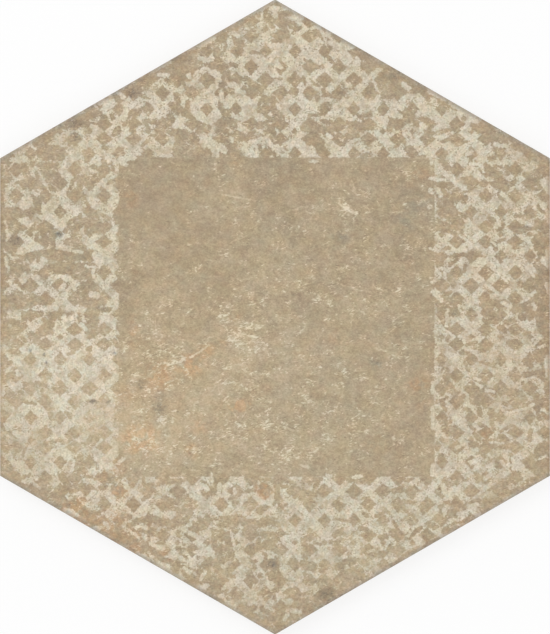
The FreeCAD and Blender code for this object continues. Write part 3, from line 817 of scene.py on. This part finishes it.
def toned(lightness, stops):
    """A colour for each lightness, between stops of lightness and colour."""
    low, high = stops[0][0], stops[-1][0]
    ramp = add_node("ShaderNodeValToRGB", {"Fac": (lightness - low) / (high - low)})
    elements = ramp.color_ramp.elements
    while len(elements) < len(stops):
        elements.new(0.5)
    for element, (level, colour) in zip(elements, stops):
        element.position = (level - low) / (high - low)
        element.color = linear(*colour)
    return Field(ramp.outputs["Color"])


def new_material(name):
    """A material, which takes the nodes that are added from now on, and its shader."""
    material = bpy.data.materials.new(name)
    material.use_nodes = True
    Field.tree = material.node_tree
    return material, Field.tree.nodes["Principled BSDF"]


# The stoneware

GROUND_LEVEL = 155.5  # lightness of the brown ground, the print and the bare stoneware, from 0 to 255
PRINT_LEVEL = 200.8
BISCUIT_LEVEL = 178.0
GROUND_TONES = (
    (120, (138, 120.5, 96)), (142, (160, 141.5, 114)), (158, (175, 157, 127.5)), (174, (190, 172.5, 142)),
    (190, (203.5, 188.8, 160)), (214, (223, 212.6, 188.5)),
)
PRINT_TONES = (
    (140, (154, 140.5, 118)), (166, (180.6, 166.7, 141)), (182, (194.8, 181.8, 156)),
    (198, (208.6, 197.3, 173.5)), (222, (229.7, 220.2, 199)),
)
BISCUIT_TONES = ((120, (140, 122, 98)), (170, (188, 170, 142)), (210, (222, 208, 184)))

COOL = (0.97, 1.0, 1.04, 1.0)  # the ends of the small shifts of hue all over the face
WARM = (1.03, 1.0, 0.96, 1.0)
GREENER = (0.97, 1.005, 1.0, 1.0)
REDDISH = (1.03, 0.995, 1.0, 1.0)
BLUSH = (1.12, 0.96, 0.86, 1.0)  # what a full blush, grey or dark stain multiplies the colour by
GREY = (0.84, 0.92, 1.0, 1.0)
DARK = (0.50, 0.52, 0.58, 1.0)
# Painted shade along the rounded edge of the face, greyer on the slanted sides, and a paler line at the very
# edge
RIM_SHADE_AND_PALE_EDGE = (  # each is full up to the first distance from the rim, and gone at the second
    ("rim", 0.2, 2.6, (0.895, 0.88, 0.865, 1.0)),  # painted shade along the rounded edge
    ("slanted_rim", 0.2, 2.6, (0.918, 1.005, 1.165, 1.0)),  # the greyer hue of that painted shade on those sides
    ("rim", 0.25, 0.95, (1.04, 1.03, 1.02, 1.0)),  # the paler edge
)

SCRATCH_RUNS = (  # the size, tilt and noise place of each run of fine scratches
    ((7.0, 2.8, 2.8), 6, 12), ((6.0, 2.6, 2.6), -26, 19), ((6.0, 2.6, 2.6), 34, 17),
)
FLECK_RUNS = (  # the same for the flecks
    ((4.4, 0.9, 1.0), 14, 23), ((1.35, 1.1, 1.2), 0, 27),
    ((3.2, 0.9, 1.0), -8, 35), ((4.0, 0.9, 1.0), 30, 39),
)
SCRATCH_PALER = 44.0  # lightness that a full scratch or fleck adds
FLECK_PALER = 60.0

GLAZE_REACH = 1.7  # how far below the face the glaze ends
GLAZE_ROUGHNESS = 0.52
BISCUIT_ROUGHNESS = 0.88
BUMP_HEIGHT = 0.05  # of the finest grain, which is only in the shading


def diamond_depth(x, y):
    """How far a place lies inside the nearest diamond of the lattice: negative between them."""
    side = compute("PINGPONG", x - LATTICE_PLACE[0], LATTICE_WIDTH / 2)
    columns = (side, LATTICE_WIDTH / 2 - side)
    row = compute("PINGPONG", y - LATTICE_PLACE[1], LATTICE_LENGTH / 2)
    depth = -LATTICE_WIDTH
    for column, offset, half_width, half_height in DIAMONDS:
        slope = half_width * half_height / math.hypot(half_width, half_height)
        inside = (1.0 - columns[column] / half_width - abs(row - offset) / half_height) * slope
        depth = most(depth, inside)
    return depth


def plain_depth(x, y):
    """How far a place lies inside the plain square: negative outside it."""
    return least(PLAIN_HALF[0] - abs(x - PLAIN_MIDDLE[0]), PLAIN_HALF[1] - abs(y - PLAIN_MIDDLE[1]))


def print_depth(place, diamonds, plain):
    """How far a place lies inside the print that is left: negative where there is none."""
    edge = grain(place, 2.4, detail=1, shift=5) * 0.07 + grain(place, 0.7, shift=6) * 0.08
    frays = grain(place, 1.7, detail=1) * 0.11 + grain(place, 0.7, shift=2) * 0.1
    left = least(edge - most(diamonds + DIAMOND_SPREAD, plain), -1.0 * (stored("bare") + frays))
    return most(left, stored("kept") - frays)


def print_left(place, diamonds, plain):
    """The share of print left: faint along the rim, and thin and full of pits where it didn't hold."""
    pepper = stored("pepper")
    along_rim = 0.35 + ease(stored("rim"), 0.3, 2.6) * 0.65
    left = ease(print_depth(place, diamonds, plain), -0.29, 0.36) * along_rim
    pits = grain(place, (0.8, 0.7, 0.7), shift=41) + grain(place, 3.0, detail=1, shift=43) * 0.5
    pits = ease(pits + pepper * 0.7, 0.8, 2.3)
    thin = ease(grain(place, 8.0, detail=2, shift=47) + pepper * 0.8, 0.4, 3.4)
    loose = 1.0 - ease(stored("kept"), -0.5, 0.4) * 0.8
    for lost in (pits * 0.8, thin * 0.5, stored("faded")):
        left = left * (1.0 - lost * loose)
    return left


def crowding(place):
    """Where scratches and flecks come in crowds, as a number about 0."""
    return grain(place, 6.0, detail=2, roughness=0.9, shift=29) * 0.5 + stored("scratched") * 1.1


def ground_lightness(place, crowded, rough):
    """The lightness of the brown ground: clouds, mottle, grain and dark creases, rougher in the border."""
    clouds = grain(place, 20.0, detail=1) * 2.0
    mottle = grain(place, (6.0, 5.0, 5.0), detail=2, shift=3) * 2.4
    fine = grain(place, (0.72, 0.6, 0.6), shift=8) * 4.6
    creases = ease(grain(place, (2.4, 0.8, 1.0), detail=1, turn=-12, shift=33) + crowded * 0.4, 1.9, 4.4)
    calm = least(stored("scratched"), 0.0)
    texture = (mottle + fine) * (1.0 + rough * 0.15 + calm * 0.3) - creases * (26.0 + calm * 16.0)
    return GROUND_LEVEL + stored("lighter") + clouds + texture + crowded * 0.8 - rough * 0.6


def print_lightness(place):
    """The lightness of the print."""
    clouds = grain(place, 6.0, detail=2, shift=53) * 2.4
    fine = grain(place, 0.75, shift=59) * 6.2
    return PRINT_LEVEL + stored("lighter") * 0.15 + stored("paler") + clouds + fine


def scratches(place, crowded):
    """How much lighter the short thin scratches and the flecks are, which come in crowds."""
    lighter = 0.0
    for size, turn, shift in SCRATCH_RUNS:
        ridges = grain(place, size, detail=1, roughness=0.7, turn=turn, shift=shift)
        line = 1.0 - ease(abs(ridges), 0.12, 0.42)
        short = grain(place, (2.6, 1.3, 1.3), turn=turn, shift=shift + 50)
        lighter = most(lighter, line * ease(short + crowded, 1.9, 4.2) * SCRATCH_PALER)
    for size, turn, shift in FLECK_RUNS:
        flecks = grain(place, size, detail=1, turn=turn, shift=shift) + crowded
        lighter = most(lighter, ease(flecks, 2.8, 6.6) * FLECK_PALER)
    return lighter


def streak_lightness(place):
    """How much lighter or darker the streaks are that the photograph shows one by one."""
    edge = stored("streak_width") * 1.25 - abs(stored("streak_side") + grain(place, 1.2, shift=31) * 0.12)
    broken = ease(grain(place, 1.6, detail=1, shift=37), -3.4, -0.6)
    return ease(edge, -0.15, 0.25) * broken * stored("streak_strength") * 1.2


def varied_hue(place, colour, rough):
    """Shifts the hue a little to and fro, more in the border, and as the soft patches say."""
    warmer = grain(place, 9.0, detail=1, roughness=0.9, shift=63) * 0.18
    warmer = warmer + grain(place, 2.6, detail=1, shift=69) * rough * 0.16
    redder = grain(place, 6.0, detail=2, roughness=0.9, shift=65) * 0.15 - warmer * 0.5
    redder = redder + grain(place, 2.6, detail=1, shift=75) * rough * 0.15
    shifts = (("warmer", warmer, COOL, WARM), ("redder", redder, GREENER, REDDISH))
    for name, varied, less, more in shifts:
        share = 0.5 + varied * (1.0 + rough * 0.3) + stored(name) * 0.5
        colour = tinted(colour, blended(share, less, more), 1.0)
    return colour


def stained(place, colour, diamonds, clean):
    """Lays the blushes, which clean places take less of, the grey and the dark stains over a colour."""
    broken = ease(grain(place, 4.0, detail=1, shift=61), -2.6, 1.8) * 1.4
    along_rim = (1.0 - ease(stored("rim"), 0.5, 4.5)) * 0.25
    blush = (stored("blush") * (1.0 - clean) + along_rim) * broken + ease(diamonds, -0.4, 1.6) * 0.12
    dark = stored("dark")
    spotted = ease(dark + grain(place, 1.2, detail=1, shift=67) * 0.16 * dark, 0.05, 0.9)
    for tint, share in ((BLUSH, blush), (GREY, stored("grey") * broken), (DARK, spotted)):
        colour = tinted(colour, tint, share)
    return colour


def face_colour(place, x, y):
    """The colour of the face, with painted shade along its rim, and how much print is left at each place."""
    diamonds = diamond_depth(x, y)
    plain = plain_depth(x, y)
    rough = 1.0 - ease(plain, -1.0, 0.0)
    crowded = crowding(place)
    pale = scratches(place, crowded) + streak_lightness(place)
    ground = toned(ground_lightness(place, crowded, rough) + pale, GROUND_TONES)
    left = print_left(place, diamonds, plain)
    colour = blended(left, ground, toned(print_lightness(place), PRINT_TONES))
    clean = most(ease(pale, 4.0, 24.0) * 0.8, left * 0.6)
    colour = stained(place, varied_hue(place, colour, rough), diamonds, clean)
    # painted shade along the rim, greyer on the slanted sides, and the paler very edge
    for rim, inner, outer, tint in RIM_SHADE_AND_PALE_EDGE:
        colour = tinted(colour, tint, 1.0 - ease(stored(rim), inner, outer))
    return colour, left


def biscuit_colour(place, z):
    """Bare stoneware for the sides and the back, with iron specks and powder on the ribs, and its pores
    darkened by painted shade.
    """
    clouds = grain(place, 9.0, detail=2, roughness=0.7) * 2.0
    fine = grain(place, 0.7, detail=1, roughness=0.8, shift=71) * 3.5
    pores = ease(grain(place, 0.6, shift=73), 1.6, 2.4)
    iron = ease(grain(place, 1.1, shift=79), 2.4, 2.8)
    dusty = ease(grain(place, 5.0, detail=3, roughness=0.8, shift=83), -1.0, 2.2)
    powder = (1.0 - ease(z, 0.02, 0.12)) * dusty
    # the pores are darker by painted shade, as well as lowered by the bump
    level = BISCUIT_LEVEL + clouds + fine + powder * 22.0 - pores * 30.0 - iron * 40.0
    return toned(level, BISCUIT_TONES), pores


def places_in_mm():
    """The places on the tile, whole and as their x, y and z."""
    metres = Field(add_node("ShaderNodeTexCoord").outputs["Object"])
    scaled = add_node("ShaderNodeVectorMath", {0: metres, "Scale": 1 / MM}, operation="SCALE")
    place = Field(scaled.outputs["Vector"])
    axes = add_node("ShaderNodeSeparateXYZ", {"Vector": place})
    x, y, z = (Field(axes.outputs[name]) for name in "XYZ")
    return place, x, y, z


def stoneware():
    """Printed stoneware on the face, ending in an uneven line under the arris, and bare stoneware below."""
    material, shader = new_material("printed_stoneware")
    place, x, y, z = places_in_mm()
    printed, left = face_colour(place, x, y)
    bare, pores = biscuit_colour(place, z)
    glaze_end = THICKNESS / MM - GLAZE_REACH
    uneven = grain(place, 4.0, detail=2, roughness=0.6, shift=89) * 0.12
    glazed = ease(z + uneven, glaze_end - 0.15, glaze_end + 0.15)
    put(shader.inputs["Base Color"], blended(glazed, bare, printed))
    dull = GLAZE_ROUGHNESS + grain(place, 3.0, detail=2, roughness=0.7, shift=97) * 0.02 + left * 0.06
    put(shader.inputs["Roughness"], glazed * dull + (1.0 - glazed) * BISCUIT_ROUGHNESS)
    face_height = left * 0.35 + grain(place, 1.2, detail=1, roughness=0.8, shift=8) * 0.12
    side_height = grain(place, 0.6, detail=1, roughness=0.8, shift=71) * 0.3 - pores * 1.5
    height = glazed * (face_height + 0.6) + (1.0 - glazed) * side_height
    bump = add_node("ShaderNodeBump", {"Height": height, "Distance": BUMP_HEIGHT * MM, "Strength": 1.0})
    put(shader.inputs["Normal"], Field(bump.outputs["Normal"]))
    shader.inputs["IOR"].default_value = 1.5
    return material


# The scene round the tile

LENS = 100.0  # the camera's, in mm, and the height of its sensor
SENSOR = 36.0
FLOOR_HALF = 6.0  # half the floor's side, in metres
FLOOR_COLOUR = (0.8, 0.8, 0.8, 1.0)  # for the light that the floor throws back
FLOOR_GLOW = 0.75  # share of its white that the floor shows without any light, round the tile
SHADOW_REACH = 0.45  # how far from the middle the floor keeps the tile's shadow, in metres
WORLD_LIGHT = 0.62  # strength of the world where it lights the scene
WHITE = (1.0, 1.0, 1.0, 1.0)
BLACK = (0.0, 0.0, 0.0, 1.0)
LAMPS = (  # place in metres, side of the square lamp, and its share of the light on the face
    ((-0.9, 0.7, 1.5), 1.0, 0.20),
    ((0.9, 0.5, 1.6), 1.2, 0.10),
    ((0.1, -1.1, 1.5), 1.2, 0.08),
)


def add_object(name, data):
    thing = bpy.data.objects.new(name, data)
    bpy.context.collection.objects.link(thing)
    return thing


def seen_rays():
    """1 for the rays that the camera and reflections see by, and 0 for those that carry light."""
    rays = add_node("ShaderNodeLightPath").outputs
    seen = Field(rays["Is Camera Ray"])
    for kind in ("Is Glossy Ray", "Is Transmission Ray"):
        seen = most(seen, Field(rays[kind]))
    return seen


def white_floor():
    """A floor that the camera and reflections see as white, and that keeps the tile's shadow."""
    corners = [(x * FLOOR_HALF, y * FLOOR_HALF, 0.0) for x, y in ((-1, -1), (1, -1), (1, 1), (-1, 1))]
    mesh = bpy.data.meshes.new("floor")
    mesh.from_pydata(corners, [], [(0, 1, 2, 3)])
    floor = add_object("floor", mesh)
    material, shader = new_material("white_floor")
    place = Field(add_node("ShaderNodeTexCoord").outputs["Object"])
    away = Field(add_node("ShaderNodeVectorMath", {0: place}, operation="LENGTH").outputs["Value"])
    glow = FLOOR_GLOW + ease(away, SHADOW_REACH, 2 * SHADOW_REACH) * (1.0 - FLOOR_GLOW)
    seen = seen_rays()
    put(shader.inputs["Base Color"], blended(seen, FLOOR_COLOUR, blended(glow, WHITE, BLACK)))
    put(shader.inputs["Emission Strength"], seen * glow)
    shader.inputs["Emission Color"].default_value = WHITE
    shader.inputs["Roughness"].default_value = 1.0
    shader.inputs["Specular IOR Level"].default_value = 0.0
    mesh.materials.append(material)


def light_scene():
    """A plain white world and soft lamps, which together light the face so that a colour shows as written."""
    world = bpy.data.worlds.new("studio")
    world.use_nodes = True
    Field.tree = world.node_tree
    background = Field.tree.nodes["Background"]
    background.inputs["Color"].default_value = WHITE
    put(background.inputs["Strength"], WORLD_LIGHT + seen_rays() * (1.0 - WORLD_LIGHT))
    bpy.context.scene.world = world
    for number, (place, side, share) in enumerate(LAMPS):
        lamp = bpy.data.lights.new(f"lamp_{number}", "AREA")
        lamp.size = side
        away = Vector(place)
        slant = away.z / away.length
        # the energy that gives a level surface at the middle that share of light
        lamp.energy = share * math.pi ** 2 * away.length_squared / slant
        holder = add_object(lamp.name, lamp)
        holder.location = place
        holder.rotation_euler = away.to_track_quat("Z", "Y").to_euler()


def look_down():
    """A long lens straight above the middle, with the tile from edge to edge of the photograph's frame."""
    camera = bpy.data.cameras.new("camera")
    camera.sensor_fit = "VERTICAL"
    camera.sensor_height = SENSOR
    camera.lens = LENS
    holder = add_object("camera", camera)
    seen_height = PHOTO_HEIGHT * PIXEL
    holder.location = (0.0, 0.0, THICKNESS - ARRIS + seen_height * LENS / SENSOR)
    bpy.context.scene.camera = holder


def dress_tile():
    """Puts the dense, printed tile in the place of the plain solid."""
    mesh = tile_mesh(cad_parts["tile"].data)
    add_wear(mesh)
    mesh.materials.append(stoneware())
    piece = add_object("hexagon_tile", mesh)
    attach(piece, "root")
    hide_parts("tile")


dress_tile()
white_floor()
light_scene()
look_down()
bpy.context.scene.view_settings.view_transform = "Standard"
